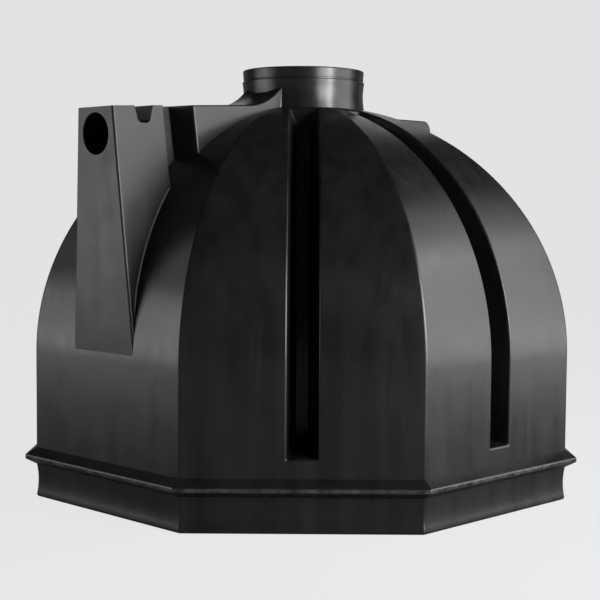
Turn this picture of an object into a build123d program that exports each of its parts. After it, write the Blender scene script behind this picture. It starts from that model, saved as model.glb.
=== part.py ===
import os
from math import acos, asin, atan2, cos, degrees, radians, sin, sqrt, tan

from build123d import *

# Driving dimensions in millimetres
ACROSS_FLATS = 1500
WALL = 8
OVERSHOOT = 20

# Base band, flange and wall
BAND_HEIGHT = 94
BAND_DISH = 4.5
BASE_EDGE_RADIUS = 8
FLANGE_REACH = 30
FLANGE_RISE = 17
FLANGE_LIP = 12
FLANGE_TOP_RISE = 19
FLANGE_EDGE_RADIUS = 4

# Dome: every face rises as one arc that leaves the wall at the shoulder
SHOULDER_HEIGHT = 414
DOME_RADIUS = 712

# Neck, from the height at which it leaves the dome
NECK_RADIUS = 183
NECK_WALL = 10
NECK_SINK = 13
NECK_RISE = 87
RIM_STEP = 6
RIM_HEIGHT = 14

# Lid, from the neck's rim
LID_RISE = 19
LID_INSET = 1.5
LID_PLATE = 6
LID_PLUG_DEPTH = 22
LID_PLUG_WALL = 4
LID_SHADOW_GAP = 4
LID_SIDE_CLEARANCE = 0.6
LID_SEAT_CLEARANCE = 0.3

# Slots: narrow channels sunk deep into six of the eight faces
SLOT_HALF_MOUTH = 40
SLOT_HALF_FLOOR = 21
SLOT_RISE = 48
SLOT_DEPTH = 270
SLOT_LEDGE_RISE = 20
SLOT_NECK_GAP = 9
SLOT_END_RUN = 12
SLOT_END_DROP = 60
SLOT_LAP = 1
SLOT_STEPS = 8

# Pipe tower on the front left face
PIPE_BORE = 111
INLET_DROP = 70
TOWER_FOOT_RISE = 31
TOWER_LEAN = 26
TOWER_HALF_TOP = 75
TOWER_HALF_FOOT = 130
TOWER_LENGTH_TOP = 167
TOWER_REAR_LEAN = 27
TOWER_REAR_DROP = 222
TOWER_STEPS = 6
GROOVE_SET_BACK = 104
GROOVE_WIDTH_TOP = 62
GROOVE_WIDTH_BOTTOM = 46
GROOVE_DEPTH = 46
GROOVE_CORNER = 16

# Ridge from the tower to the neck
RIDGE_RISE = 8
RIDGE_FALL = 36
RIDGE_HALF = 75
RIDGE_GAP = 107
RIDGE_NOSE = 20
RIDGE_END_LEAN = 14.4
RIDGE_END_DROP = 100
RAMP_RUN = 107
RAMP_DROP = 33
WEB_THICKNESS = 16
WEB_SHIFT = -12

# Outlet chamber on the back right face
OUTLET_DROP = 6
OUTLET_HOLE_CLEARANCE = 1.08
OUTLET_CORNER = 32
OUTLET_FALL = 13
OUTLET_HALF = 75

# Faces in turn round the vertical axis, from +X
FACES = ("right", "back_right", "back", "back_left", "left", "front_left", "front", "front_right")
INLET_FACE = "front_left"
OUTLET_FACE = "back_right"

# Derived sizes
APOTHEM = ACROSS_FLATS / 2
SECTOR = 360 / len(FACES)
HALF_SECTOR = SECTOR / 2
WIDE = 2 * APOTHEM
DOME_CENTRE = APOTHEM - DOME_RADIUS
FLANGE_TOP = BAND_HEIGHT + FLANGE_RISE + FLANGE_LIP + FLANGE_TOP_RISE


def dome_height(radius, sink=0):
    """Height of the dome's face at a distance from the axis, sunk by a depth."""
    return SHOULDER_HEIGHT + sqrt((DOME_RADIUS - sink) ** 2 - (radius - DOME_CENTRE) ** 2)


def dome_reach(height):
    """Distance from the axis at which the dome's face has a height."""
    return DOME_CENTRE + sqrt(DOME_RADIUS**2 - (height - SHOULDER_HEIGHT) ** 2)


DOME_AT_NECK = dome_height(NECK_RADIUS)
NECK_BORE = NECK_RADIUS - NECK_WALL
NECK_ROOT = DOME_AT_NECK - NECK_SINK
NECK_TOP = DOME_AT_NECK + NECK_RISE
RIM_RADIUS = NECK_RADIUS - RIM_STEP
RIM_TOP = NECK_TOP + RIM_HEIGHT
LID_RADIUS = NECK_RADIUS - LID_INSET
LID_TOP = RIM_TOP + LID_RISE
SLOT_FLOOR = APOTHEM - SLOT_DEPTH
SLOT_BOTTOM = FLANGE_TOP + SLOT_RISE
RIDGE_TOP_AT_NECK = DOME_AT_NECK + RIDGE_RISE
TOWER_FRONT_TOP = APOTHEM + TOWER_LEAN
TOWER_REAR_TOP = TOWER_FRONT_TOP - TOWER_LENGTH_TOP
TOWER_FOOT_HEIGHT = SHOULDER_HEIGHT + TOWER_FOOT_RISE
TOWER_RISE = RIDGE_TOP_AT_NECK - RIDGE_FALL - TOWER_FOOT_HEIGHT
INLET_HEIGHT = RIDGE_TOP_AT_NECK - RIDGE_FALL - INLET_DROP
RIDGE_END = TOWER_REAR_TOP - RIDGE_GAP
RAMP_START = NECK_RADIUS + RAMP_RUN
RAMP_HEIGHT = NECK_TOP - RAMP_DROP
OUTLET_TOP = DOME_AT_NECK - OUTLET_DROP
OUTLET_HEIGHT = INLET_HEIGHT - OUTLET_FALL
OUTLET_END = dome_reach(OUTLET_HEIGHT - PIPE_BORE / 2 - OUTLET_HOLE_CLEARANCE)


def dome_arc(start, end, sink=0):
    """The dome's arc between two distances from the axis, in the radial plane."""
    middle = (start + end) / 2
    points = [(r, dome_height(r, sink)) for r in (start, middle, end)]
    return ThreePointArc(*points)


def on_face(shape, face):
    """Turns what was drawn towards +X to the named face."""
    return Rot(0, 0, SECTOR * FACES.index(face)) * shape


def radial(outline, lateral=0):
    """A face in the radial plane, lateral millimetres to its side."""
    return Plane((0, lateral, 0), x_dir=(1, 0, 0), z_dir=(0, -1, 0)) * make_face(outline)


def across(outline, half_width):
    """The outline in the radial plane, drawn out sideways both ways."""
    return extrude(radial(outline), amount=half_width, both=True)


def four_corners(near, near_half, near_height, far, far_half, far_height):
    """Corners of a section from its inner edge to its outer one, in turn."""
    return [
        (near, -near_half, near_height),
        (near, near_half, near_height),
        (far, far_half, far_height),
        (far, -far_half, far_height),
    ]


def faceted(rows):
    """Solid with flat facets between rows of four corners; a corner that stays makes a triangle."""
    facets = [rows[0], rows[-1]]
    for row, following in zip(rows, rows[1:]):
        for corner in range(4):
            turn = (corner + 1) % 4
            facet = dict.fromkeys([row[corner], row[turn], following[turn], following[corner]])
            if len(facet) > 2:
                facets.append(list(facet))
    return Solid(Shell([make_face(Polyline(*facet, close=True)).face() for facet in facets]))


def sector():
    """One eighth of all space between two mitre planes, about +X."""
    reach = 2 * APOTHEM
    side = reach * tan(radians(HALF_SECTOR))
    triangle = make_face(Polyline((0, 0), (reach, -side), (reach, side), close=True))
    return Pos(0, 0, -OVERSHOOT) * extrude(triangle, amount=2 * APOTHEM)


def mitred(outline):
    """The outline as one face of the octagon, mitred at both ends."""
    return across(outline, APOTHEM) & sector()


def octagon_ring(outline):
    """The outline carried round the whole octagon as one piece."""
    piece = mitred(outline)
    ring = piece
    for turn in range(1, len(FACES)):
        ring += Rot(0, 0, turn * SECTOR) * piece
    return ring


def floor():
    """Flat bottom that the base band stands round."""
    reach = APOTHEM - BAND_DISH - WALL
    corner = reach / cos(radians(HALF_SECTOR))
    return extrude(RegularPolygon(corner, len(FACES), rotation=HALF_SECTOR), amount=WALL)


def base_band():
    """Low band under the flange, dished inwards between its edges."""
    inner = APOTHEM - BAND_DISH - WALL
    outer = APOTHEM
    round_end = outer - BASE_EDGE_RADIUS
    bend = BASE_EDGE_RADIUS * (1 - cos(radians(45)))
    middle = (BASE_EDGE_RADIUS + BAND_HEIGHT) / 2
    outline = [
        Line((inner, BAND_HEIGHT), (inner, 0)),
        Line((inner, 0), (round_end, 0)),
        ThreePointArc((round_end, 0), (outer - bend, bend), (outer, BASE_EDGE_RADIUS)),
        ThreePointArc((outer, BASE_EDGE_RADIUS), (outer - BAND_DISH, middle), (outer, BAND_HEIGHT)),
        Line((outer, BAND_HEIGHT), (inner, BAND_HEIGHT)),
    ]
    return octagon_ring(outline)


def flange():
    """Projecting lip between the base band and the wall."""
    inner = APOTHEM - WALL
    tip = APOTHEM + FLANGE_REACH
    under = BAND_HEIGHT + FLANGE_RISE
    over = under + FLANGE_LIP
    corners = [
        (inner, BAND_HEIGHT),
        (APOTHEM, BAND_HEIGHT),
        (tip, under),
        (tip, over),
        (APOTHEM, FLANGE_TOP),
        (inner, FLANGE_TOP),
    ]
    section = make_face(Polyline(*corners, close=True))
    lip = section.vertices().group_by(Axis.X)[-1]
    section = fillet(lip, FLANGE_EDGE_RADIUS)
    return octagon_ring(section.wire().edges())


def slot_opening():
    """Straight-sided cut of one slot through a face's skin."""
    outside = APOTHEM + OVERSHOOT
    roof = SHOULDER_HEIGHT + DOME_RADIUS + OVERSHOOT
    ledge_slope = SLOT_LEDGE_RISE / SLOT_DEPTH
    end_slope = SLOT_END_RUN / SLOT_END_DROP
    end = NECK_RADIUS + SLOT_NECK_GAP
    end_height = dome_height(end)
    corners = [
        (SLOT_FLOOR, SLOT_BOTTOM + SLOT_LEDGE_RISE),
        (outside, SLOT_BOTTOM - ledge_slope * OVERSHOOT),
        (outside, roof),
        (end - end_slope * (roof - end_height), roof),
        (end + SLOT_END_RUN, end_height - SLOT_END_DROP),
        (SLOT_FLOOR, SHOULDER_HEIGHT),
    ]
    return across(Polyline(*corners, close=True).edges(), SLOT_HALF_MOUTH)


def slot_stations(skin):
    """Floor point and mouth point of the slot at every step up its length, grown by a skin."""
    sink = WALL - SLOT_LAP
    mouth_end = NECK_RADIUS + SLOT_NECK_GAP
    mouth_radius = DOME_RADIUS - sink
    mouth_sweep = acos((mouth_end - skin - DOME_CENTRE) / mouth_radius)
    end_rise = dome_height(mouth_end) - SLOT_END_DROP - SHOULDER_HEIGHT
    end_run = SLOT_FLOOR - (mouth_end + SLOT_END_RUN)
    floor_radius = (end_rise**2 + end_run**2) / (2 * end_run)
    floor_sweep = asin(end_rise / floor_radius)
    ledge = SLOT_BOTTOM - skin
    mouth_foot = ledge + SLOT_LEDGE_RISE / SLOT_DEPTH * sink
    stations = [((SLOT_FLOOR - skin, ledge + SLOT_LEDGE_RISE), (APOTHEM - sink, mouth_foot))]
    turns = [(floor_sweep * step / SLOT_STEPS,) * 2 for step in range(SLOT_STEPS + 1)]
    rest = mouth_sweep - floor_sweep
    turns += [(floor_sweep, floor_sweep + rest * step / SLOT_STEPS) for step in range(1, SLOT_STEPS + 1)]
    for floor_turn, mouth_turn in turns:
        points = []
        for edge, radius, turn in (
            (SLOT_FLOOR, floor_radius, floor_turn),
            (APOTHEM, DOME_RADIUS, mouth_turn),
        ):
            inward = skin if edge == SLOT_FLOOR else sink
            reach = radius - inward
            points.append((edge - radius + reach * cos(turn), SHOULDER_HEIGHT + reach * sin(turn)))
        stations.append(tuple(points))
    return stations


def slot_room(skin=0):
    """The slot's tapering room behind the panel, grown by a skin."""
    rows = []
    for (near, low), (far, high) in slot_stations(skin):
        rows.append(four_corners(near, SLOT_HALF_FLOOR + skin, low, far, SLOT_HALF_MOUTH + skin, high))
    return faceted(rows)


def panel_outline(bottom, top_radius):
    """Wall and dome skin of one face, from a height up to a distance from the axis."""
    inner = APOTHEM - WALL
    return [
        Line((inner, bottom), (APOTHEM, bottom)),
        Line((APOTHEM, bottom), (APOTHEM, SHOULDER_HEIGHT)),
        dome_arc(APOTHEM, top_radius),
        Line((top_radius, dome_height(top_radius)), (top_radius, dome_height(top_radius, WALL))),
        dome_arc(top_radius, inner, WALL),
        Line((inner, SHOULDER_HEIGHT), (inner, bottom)),
    ]


def under_dome(sink=0):
    """Everything on the inner side of one face's surface, sunk by a depth."""
    edge = APOTHEM - sink
    outline = [
        Line((0, 0), (edge, 0)),
        Line((edge, 0), (edge, SHOULDER_HEIGHT)),
        dome_arc(edge, DOME_CENTRE, sink),
        Line((DOME_CENTRE, dome_height(DOME_CENTRE, sink)), (0, dome_height(DOME_CENTRE, sink))),
        Line((0, dome_height(DOME_CENTRE, sink)), (0, 0)),
    ]
    return across(outline, APOTHEM)


def neck_space():
    """The neck's outer cylinder, run through the dome."""
    return Pos(0, 0, NECK_ROOT) * Cylinder(
        NECK_RADIUS, WIDE, align=(Align.CENTER, Align.CENTER, Align.MIN)
    )


def shell_panel():
    """One face's skin, mitred to its neighbours and ended at the neck."""
    top_radius = NECK_RADIUS * cos(radians(HALF_SECTOR)) - WALL
    panel = mitred(panel_outline(FLANGE_TOP, top_radius))
    return panel - Cylinder(NECK_RADIUS, 2 * WIDE)


def split_panel(panel):
    """The panel's wall below the shoulder and its dome above it."""
    below = Box(WIDE * 2, WIDE * 2, SHOULDER_HEIGHT, align=(Align.CENTER, Align.CENTER, Align.MIN))
    return panel & below, panel - below


def slot_channel():
    """Skin of one slot behind the panel."""
    skin = slot_room(WALL) - slot_room()
    return (skin & under_dome(WALL)) - neck_space()


def top_line(radius):
    """Height of the sloping top that tower, web and ridge share."""
    slope = RIDGE_FALL / (TOWER_FRONT_TOP - NECK_RADIUS)
    return RIDGE_TOP_AT_NECK - slope * (radius - NECK_RADIUS)


def tower_front(height):
    """Distance of the tower's leaning outer face from the axis at a height."""
    return APOTHEM + TOWER_LEAN * (height - TOWER_FOOT_HEIGHT) / TOWER_RISE


def tower_rear(height):
    """Distance of the tower's inner end from the axis at a height."""
    return TOWER_REAR_TOP - TOWER_REAR_LEAN * (top_line(TOWER_REAR_TOP) - height) / TOWER_REAR_DROP


def tower_half(height):
    """Half the width of the tower's outer face at a height."""
    flare = (TOWER_HALF_FOOT - TOWER_HALF_TOP) / TOWER_RISE
    return TOWER_HALF_FOOT - flare * (height - TOWER_FOOT_HEIGHT)


def tower_room(skin=0):
    """The tower's four leaning sides, shrunk by a skin and open above."""
    step = (RIM_TOP - TOWER_FOOT_HEIGHT) / TOWER_STEPS
    rear, front = TOWER_FOOT_HEIGHT, TOWER_FOOT_HEIGHT
    rows = []
    for turn in range(2 * TOWER_STEPS + 1):
        near, far = tower_rear(rear) + skin, tower_front(front) - skin
        rows.append(four_corners(near, TOWER_HALF_TOP - skin, rear, far, tower_half(front) - skin, front))
        if turn % 2:
            rear += step
        else:
            front += step
    return faceted(rows)


def under_top_line(drop=0):
    """Full-width room under the sloping top, lowered by a drop."""
    outline = [(0, 0), (WIDE, 0), (WIDE, top_line(WIDE) - drop), (0, top_line(0) - drop)]
    return across(Polyline(*outline, close=True).edges(), APOTHEM)


def tower_body():
    """The tower's outside, ended by its sloping top."""
    return tower_room() & under_top_line()


def groove(skin=0):
    """U-shaped room across the tower's top, grown by a skin."""
    middle = TOWER_FRONT_TOP - GROOVE_SET_BACK
    rim = top_line(middle)
    bed = rim - GROOVE_DEPTH - skin
    above = rim + GROOVE_DEPTH
    side_slope = (GROOVE_WIDTH_TOP - GROOVE_WIDTH_BOTTOM) / 2 / GROOVE_DEPTH
    half_bed = GROOVE_WIDTH_BOTTOM / 2 + skin
    half_above = half_bed + side_slope * (above - bed)
    corners = [
        (middle - half_above, above),
        (middle - half_bed, bed),
        (middle + half_bed, bed),
        (middle + half_above, above),
    ]
    section = make_face(Polyline(*corners, close=True))
    section = fillet(section.vertices().group_by(Axis.Y)[0], GROOVE_CORNER + skin)
    return across(section.wire().edges(), APOTHEM)


def between(low_inner, low_outer, high_inner, high_outer, low, high):
    """Full-width room between two leaning planes and two heights."""
    corners = [(low_inner, low), (low_outer, low), (high_outer, high), (high_inner, high)]
    return across(Polyline(*corners, close=True).edges(), APOTHEM)


def pipe_hole(outer_distance, height, slope=0):
    """Round hole for a drain pipe through an end wall, square to its outer face."""
    place = Pos(outer_distance, 0, height) * Rot(0, 90 + degrees(atan2(slope, 1)), 0)
    return place * Cylinder(PIPE_BORE / 2, 4 * WALL)


def tower_pieces():
    """Outer wall, inner wall, two cheeks and grooved top of the pipe tower."""
    low = TOWER_FOOT_HEIGHT - OVERSHOOT
    high = RIM_TOP
    outer = tower_body() - groove() - under_dome(WALL)
    middle_zone = between(
        tower_rear(low) + WALL,
        tower_front(low) - WALL,
        tower_rear(high) + WALL,
        tower_front(high) - WALL,
        low,
        high,
    )
    inner_end, outer_end = (outer - middle_zone).solids().sort_by(Axis.X)
    middle = outer & middle_zone
    ceiling = under_top_line(WALL) - groove(WALL)
    cheeks = ((middle & ceiling) - tower_room(WALL)).solids().sort_by(Axis.Y)
    hole = pipe_hole(tower_front(INLET_HEIGHT), INLET_HEIGHT, TOWER_LEAN / TOWER_RISE)
    return {
        "inlet_outer_wall": outer_end - hole,
        "inlet_inner_wall": inner_end,
        "inlet_left_cheek": cheeks[0],
        "inlet_right_cheek": cheeks[-1],
        "inlet_grooved_top": middle - ceiling,
    }


def ridge_end(height, skin=0):
    """Distance of the ridge's end corners from the axis at a height."""
    lean = RIDGE_END_LEAN / RIDGE_END_DROP
    return RIDGE_END - lean * (top_line(RIDGE_END) - height) - skin


def ridge_body(skin=0):
    """The ridge with its blunt nose and the ramp up to the neck, shrunk by a skin."""
    half = RIDGE_HALF - skin
    plans = []
    for height in (SHOULDER_HEIGHT, RIM_TOP):
        corner = ridge_end(height, skin)
        nose = corner + RIDGE_NOSE
        outline = [(0, -half), (corner, -half), (nose, 0), (corner, half), (0, half)]
        plans.append(Plane.XY.offset(height) * make_face(Polyline(*outline, close=True)))
    reach = RIDGE_END + 2 * RIDGE_NOSE
    start = (RAMP_START, top_line(RAMP_START) - skin)
    ramp_end = (NECK_BORE, RAMP_HEIGHT - skin)
    slope = RIDGE_FALL / (TOWER_FRONT_TOP - NECK_RADIUS)
    profile = [
        Line((NECK_BORE, SHOULDER_HEIGHT), (reach, SHOULDER_HEIGHT)),
        Line((reach, SHOULDER_HEIGHT), (reach, top_line(reach) - skin)),
        Line((reach, top_line(reach) - skin), start),
        TangentArc(start, ramp_end, tangent=(-1, slope)),
        Line(ramp_end, (NECK_BORE, SHOULDER_HEIGHT)),
    ]
    return loft(plans, ruled=True) & across(profile, half)


def web_body():
    """Thin wall from the ridge's nose to the tower, under the sloping top."""
    inner, outer = RIDGE_END - RIDGE_NOSE, TOWER_REAR_TOP
    corners = [
        (inner, SHOULDER_HEIGHT),
        (outer, SHOULDER_HEIGHT),
        (outer, top_line(outer)),
        (inner, top_line(inner)),
    ]
    return Pos(0, WEB_SHIFT, 0) * across(Polyline(*corners, close=True).edges(), WEB_THICKNESS / 2)


def ridge_pieces():
    """Hollow ridge, its nose and the web that joins it to the tower."""
    skin = ridge_body() - ridge_body(WALL) - under_dome(WALL) - neck_space()
    low, high = SHOULDER_HEIGHT, RIM_TOP
    cut = between(0, ridge_end(low, WALL), 0, ridge_end(high, WALL), low, high)
    return {
        "inlet_ridge": skin & cut,
        "inlet_ridge_nose": skin - cut,
        "inlet_web": web_body() - under_dome() - tower_body() - ridge_body(),
    }


def outlet_body(skin=0):
    """The outlet chamber's outside, or its room when shrunk by a skin."""
    top = OUTLET_TOP - skin
    end = OUTLET_END - skin
    corners = [(0, SHOULDER_HEIGHT), (end, SHOULDER_HEIGHT), (end, top), (0, top)]
    section = make_face(Polyline(*corners, close=True))
    outer_top = section.vertices().sort_by(Axis.X)[-2:].sort_by(Axis.Y)[-1]
    section = fillet(outer_top, OUTLET_CORNER - skin)
    return across(section.wire().edges(), OUTLET_HALF - skin)


def outlet_pieces():
    """Outlet chamber: its end wall with the pipe hole and the cap behind it."""
    skin = outlet_body() - outlet_body(WALL) - under_dome(WALL) - neck_space()
    corner = OUTLET_TOP - OUTLET_CORNER
    zone = between(OUTLET_END - WALL, WIDE, OUTLET_END - WALL, WIDE, 0, corner)
    return {
        "outlet_end_wall": (skin & zone) - pipe_hole(OUTLET_END, OUTLET_HEIGHT),
        "outlet_cap": skin - zone,
    }


def neck():
    """Round neck with a stepped rim for the lid."""
    outline = [
        (NECK_BORE, NECK_ROOT),
        (NECK_RADIUS, NECK_ROOT),
        (NECK_RADIUS, NECK_TOP),
        (RIM_RADIUS, NECK_TOP),
        (RIM_RADIUS, RIM_TOP),
        (NECK_BORE, RIM_TOP),
    ]
    return revolve(radial(Polyline(*outline, close=True).edges()), Axis.Z)


def lid():
    """Lid with a skirt outside the rim and a plug inside it."""
    seat = RIM_TOP + LID_SEAT_CLEARANCE
    skirt_inner = RIM_RADIUS + LID_SIDE_CLEARANCE
    skirt_foot = NECK_TOP + LID_SHADOW_GAP
    plug_outer = NECK_BORE - LID_SIDE_CLEARANCE
    plug_inner = plug_outer - LID_PLUG_WALL
    plug_foot = seat - LID_PLUG_DEPTH
    plate_under = LID_TOP - LID_PLATE
    outline = [
        (0, plate_under),
        (plug_inner, plate_under),
        (plug_inner, plug_foot),
        (plug_outer, plug_foot),
        (plug_outer, seat),
        (skirt_inner, seat),
        (skirt_inner, skirt_foot),
        (LID_RADIUS, skirt_foot),
        (LID_RADIUS, LID_TOP),
        (0, LID_TOP),
    ]
    return revolve(radial(Polyline(*outline, close=True).edges()), Axis.Z)


def largest(shape):
    """The shape without the crumbs that a cut leaves beside it."""
    return shape.solids().sort_by(SortBy.VOLUME)[-1]


def tank():
    """Every piece of the tank by its name."""
    pieces = {
        "floor": floor(),
        "base_band": base_band(),
        "flange": flange(),
        "neck": neck(),
        "lid": lid(),
    }
    wall, dome = split_panel(shell_panel())
    slot = slot_opening()
    channel = slot_channel()
    inlet = on_face(tower_body() + ridge_body(), INLET_FACE)
    outlet = on_face(outlet_body(), OUTLET_FACE)
    for face in FACES:
        own_wall, own_dome = wall, dome
        if face == INLET_FACE:
            fittings = {**tower_pieces(), **ridge_pieces()}
        elif face == OUTLET_FACE:
            fittings = outlet_pieces()
        else:
            own_wall, own_dome = wall - slot, dome - slot
            fittings = {f"slot_{face}": channel}
        pieces[f"wall_{face}"] = on_face(own_wall, face)
        pieces[f"dome_{face}"] = largest(on_face(own_dome, face) - inlet - outlet)
        for name, piece in fittings.items():
            pieces[name] = on_face(piece, face)
    return pieces


os.makedirs("parts", exist_ok=True)
for name, piece in tank().items():
    export_step(piece, f"parts/{name}.step")
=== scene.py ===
from math import acos, atan2, cos, degrees, pi, radians, sin, sqrt, tan

import bmesh
import bpy
from mathutils import Matrix, Vector


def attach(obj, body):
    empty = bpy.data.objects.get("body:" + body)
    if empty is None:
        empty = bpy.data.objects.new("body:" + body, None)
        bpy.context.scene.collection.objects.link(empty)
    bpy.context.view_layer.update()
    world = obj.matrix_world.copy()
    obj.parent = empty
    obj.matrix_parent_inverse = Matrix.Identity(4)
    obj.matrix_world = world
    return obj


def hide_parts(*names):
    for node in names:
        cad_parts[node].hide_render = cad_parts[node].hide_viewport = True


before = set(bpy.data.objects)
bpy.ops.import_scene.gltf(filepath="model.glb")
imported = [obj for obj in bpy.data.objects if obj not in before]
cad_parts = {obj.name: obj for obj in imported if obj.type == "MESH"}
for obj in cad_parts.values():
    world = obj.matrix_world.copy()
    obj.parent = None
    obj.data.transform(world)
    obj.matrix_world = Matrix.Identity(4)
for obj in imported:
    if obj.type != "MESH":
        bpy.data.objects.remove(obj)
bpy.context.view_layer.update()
bpy.ops.object.select_all(action="DESELECT")

# Sizes in metres, in the frame's own axes
MM = 0.001
SIDES = 8
HALF_TURN = pi / SIDES
WALL = 8 * MM
PLAIN_FACES = {"front_left": 225, "back_right": 45}
SLOT_FACES = {"right": 0, "back": 90, "back_left": 135, "left": 180, "front": 270, "front_right": 315}

# Base band and flange, with every distance from the axis taken to the middle of a flat
APOTHEM = 750 * MM
BAND_HEIGHT = 94 * MM
BAND_DISH = 4.5 * MM
BAND_ROWS = 8
BASE_EDGE = 8 * MM
BASE_MITRE_EDGE = 3.2 * MM
FLANGE_TIP = 780 * MM
FLANGE_UNDER = 111 * MM
FLANGE_OVER = 123 * MM
FLANGE_TOP = 142 * MM
LIP_FROM = APOTHEM + 15 * MM
LIP_LEAN = 0.3

# Wall and dome
WALL_FOOT = FLANGE_TOP - 3 * MM
SHOULDER = 414 * MM
DOME_RADIUS = 712 * MM
DOME_CENTRE = APOTHEM - DOME_RADIUS
DOME_ROWS = 40
MITRE_EDGE = 5 * MM
MANHOLE_RADIUS = 178 * MM
MANHOLE_BULGE = (9 * MM, 0, -1.8 * MM)
MANHOLE_LOW = 700 * MM
MANHOLE_HIGH = 1500 * MM
MANHOLE_SIDES = 64
ROOM_SINK = 4 * MM

# Slots, from the ledge over the flange to the sloped head under the neck
SLOT_MOUTH = 40 * MM
SLOT_FLOOR = 21 * MM
SLOT_BOTTOM = 190 * MM
SLOT_LEDGE = 20 * MM
SLOT_DEPTH = 270 * MM
SLOT_END = 192 * MM
SLOT_END_RUN = 12 * MM
SLOT_END_DROP = 60 * MM
SLOT_EDGE = 6 * MM
DOME_END = degrees(acos((SLOT_END - DOME_CENTRE) / DOME_RADIUS))

# Neck with its stepped rim
NECK_RADIUS = 183 * MM
DOME_AT_NECK = SHOULDER + sqrt(DOME_RADIUS ** 2 - (NECK_RADIUS - DOME_CENTRE) ** 2)
NECK_BORE = NECK_RADIUS - 10 * MM
NECK_ROOT = DOME_AT_NECK - 13 * MM
NECK_TOP = DOME_AT_NECK + 87 * MM
NECK_WAIST = 3.5 * MM
WAIST_ROWS = 8
NECK_FLARE = 6 * MM
FLARE_SINK = 2.2 * MM
NECK_ROOT_IN = 2 * MM
NECK_EDGE = 3 * MM
RIM_RADIUS = NECK_RADIUS - 6 * MM
RIM_TOP = NECK_TOP + 14 * MM
RIM_EDGE = 2 * MM
BORE_EDGE = 1.5 * MM
ROUND_SIDES = 128

# Lid, with its plug inside the rim and a panel sunk in steps towards the middle
LID_RADIUS = NECK_RADIUS - 1.5 * MM
LID_TOP = RIM_TOP + 19 * MM
LID_FOOT = NECK_TOP + 4 * MM
LID_SEAT = RIM_TOP + 0.3 * MM
LID_DRAFT = 1.8 * MM
LID_EDGE = 4 * MM
LID_FOOT_EDGE = 1 * MM
LID_SKIN = 6.5 * MM
LID_PLAY = 0.6 * MM
PLUG_WALL = 4 * MM
PLUG_DEPTH = 22 * MM
PLUG_CHAMFER = 1.5 * MM
PANEL_RADIUS = 150 * MM
PANEL_STEPS = ((0, 0), (2.5 * MM, 0.4 * MM), (6 * MM, 1.6 * MM), (9 * MM, 2 * MM), (50 * MM, 1.8 * MM))

# Pipe tower, whose slope on top runs on over the web and the ridge
PIPE_BORE = 55.5 * MM
PIPE_SIDES = 64
PIPE_EDGE = 1.2 * MM
DRILL_LENGTH = 60 * MM
RIDGE_TOP = DOME_AT_NECK + 8 * MM
RIDGE_FALL = 36 * MM
INLET_HEIGHT = RIDGE_TOP - RIDGE_FALL - 70 * MM
TOWER_ROOT = 400 * MM
TOWER_FOOT = SHOULDER + 31 * MM
TOWER_RISE = RIDGE_TOP - RIDGE_FALL - TOWER_FOOT
TOWER_LEAN = 26 * MM
TOWER_HALF = 75 * MM
TOWER_HALF_FOOT = 130 * MM
TOWER_CHEEK_SLOPE = 0.08
TOWER_FRONT = APOTHEM + TOWER_LEAN
TOWER_REAR = TOWER_FRONT - 167 * MM
TOWER_REAR_SLOPE = 27 / 222
TOWER_EDGE = 12 * MM
GROOVE_MIDDLE = TOWER_FRONT - 104 * MM
GROOVE_HALF_TOP = 31 * MM
GROOVE_HALF_BED = 23 * MM
GROOVE_DEPTH = 46 * MM
GROOVE_CORNER = 16 * MM

# Net of faces on the tower, whose columns stay clear of the rounded front corners
NET_ROW = 40 * MM
NET_ROWS = range(1, 16)
NET_COLUMN = 12 * MM
NET_COLUMNS = range(-7, 12)

# Ridge with its ramp, web and outlet chamber
FITTING_ROOT = 800 * MM
FITTING_EDGE = 5 * MM
ROOM_FOOT_DROP = 40 * MM
RIDGE_SLOPE = RIDGE_FALL / (TOWER_FRONT - NECK_RADIUS)
RIDGE_END = TOWER_REAR - 107 * MM
RIDGE_NOSE = 20 * MM
RIDGE_NOSE_FROM = 400 * MM
RIDGE_END_LEAN = 0.144
RAMP_START = NECK_RADIUS + 107 * MM
RAMP_TOP = NECK_TOP - 27 * MM
RAMP_END = NECK_RADIUS - 17 * MM
RAMP_ROWS = 14
RIDGE_INNER = RAMP_END - 40 * MM
WEB_ROOT = 850 * MM
WEB_HALF = 8 * MM
WEB_SHIFT = -12 * MM
WEB_INTO_TOWER = 4 * MM
WEB_EDGE = 2.5 * MM
OUTLET_TOP = DOME_AT_NECK - 6 * MM
OUTLET_END = 514 * MM
OUTLET_INNER = 160 * MM
OUTLET_CORNER = 32 * MM
OUTLET_HEIGHT = INLET_HEIGHT - 13 * MM

# Concave strips in the inner corners, whose last side is their root inside the walls
CORNER_BLEND = 8 * MM
BLEND_SIDES = 8
BLEND_TUCK = 0.15 * MM
BLEND_ROOT = 2 * MM
CORNER_STEP = 8 * MM
NECK_CORNER_LOW = 1106 * MM
NECK_CORNER_HIGH = 1160 * MM
NECK_CORNER_ROWS = 4
NECK_CORNER_TAPER = 0.85

# Folds in degrees past which an edge is rounded or shaded sharp, and the sway of large faces
SOFT_FOLD = 30
FOLD = 35
PIPE_FOLD = 60
SHADE_FOLD = 38
FLATNESS_WEIGHT = 60

# How far apart points, turns and places may be and still count as the same
MERGE_GAP = 0.05 * MM
PLACE_GAP = 0.2 * MM
PIPE_GAP = 0.8 * MM
TURN_GAP = 0.001

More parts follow.
